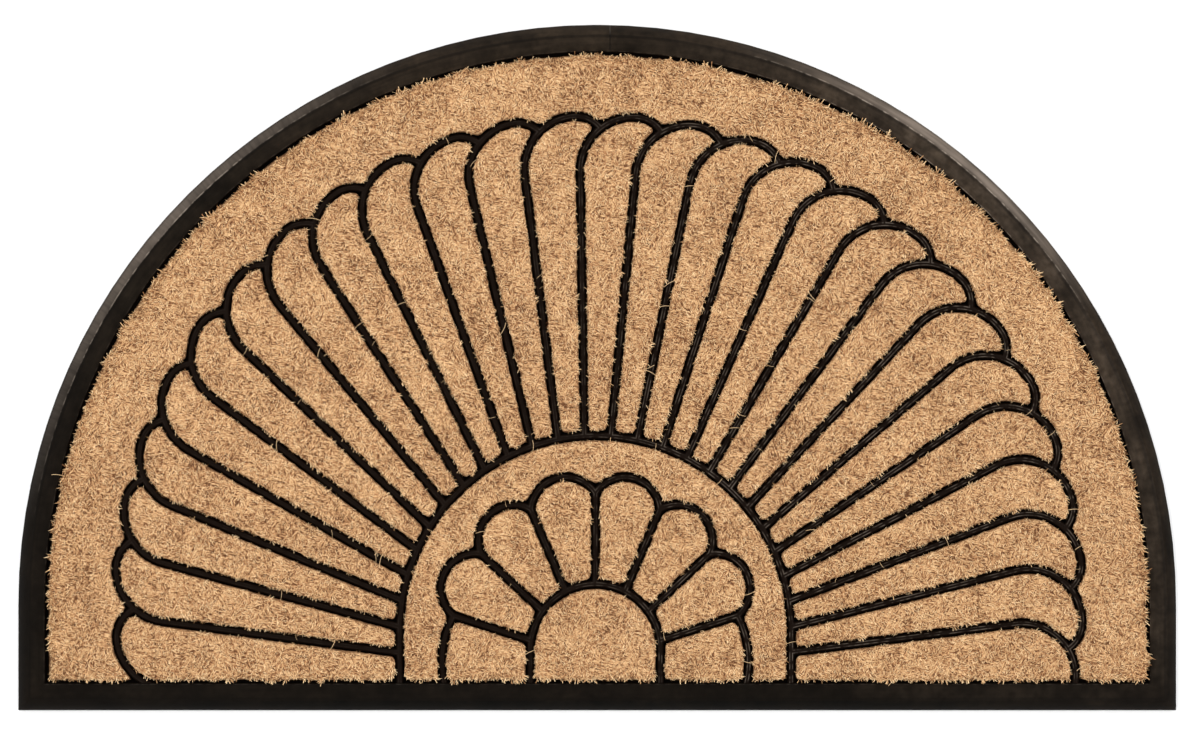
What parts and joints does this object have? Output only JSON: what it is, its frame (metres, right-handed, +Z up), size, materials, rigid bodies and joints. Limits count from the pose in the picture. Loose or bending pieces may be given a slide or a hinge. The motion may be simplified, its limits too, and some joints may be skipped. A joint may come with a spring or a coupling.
{
  "type": "half-round coir doormat",
  "caption": "Half-round doormat: a black rubber tray with a raised border and thin ribs that part flat-cut coir pile into a fan of petals.",
  "frame": {"origin": "on the floor, under the middle of the mat's bounding box", "axes": "+X along the straight edge to the right, +Y towards the arc, +Z up"},
  "size_m": [0.75, 0.444, 0.014],
  "materials": {
    "rubber": "matt black moulded rubber, dusty and a little scuffed on the border",
    "coir": "golden brown coconut-fibre pile, cut flat, with ragged edges"
  },
  "bodies": {
    "root": {"rubber_tray": "rubber", "coir_field": "coir", "coir_petal_01": "coir", "coir_petal_02": "coir", "coir_petal_03": "coir", "coir_petal_04": "coir", "coir_petal_05": "coir", "coir_petal_06": "coir", "coir_petal_07": "coir", "coir_petal_08": "coir", "coir_petal_09": "coir", "coir_petal_10": "coir", "coir_petal_11": "coir", "coir_petal_12": "coir", "coir_petal_13": "coir", "coir_petal_14": "coir", "coir_petal_15": "coir", "coir_petal_16": "coir", "coir_petal_17": "coir", "coir_petal_18": "coir", "coir_petal_19": "coir", "coir_petal_20": "coir", "coir_petal_21": "coir", "coir_petal_22": "coir", "coir_petal_23": "coir", "coir_petal_24": "coir", "coir_petal_25": "coir", "coir_petal_26": "coir", "coir_petal_27": "coir", "coir_band": "coir", "coir_rosette_1": "coir", "coir_rosette_2": "coir", "coir_rosette_3": "coir", "coir_rosette_4": "coir", "coir_rosette_5": "coir", "coir_rosette_6": "coir", "coir_rosette_7": "coir", "coir_rosette_8": "coir", "coir_half_disc": "coir"}
  },
  "joints": []
}
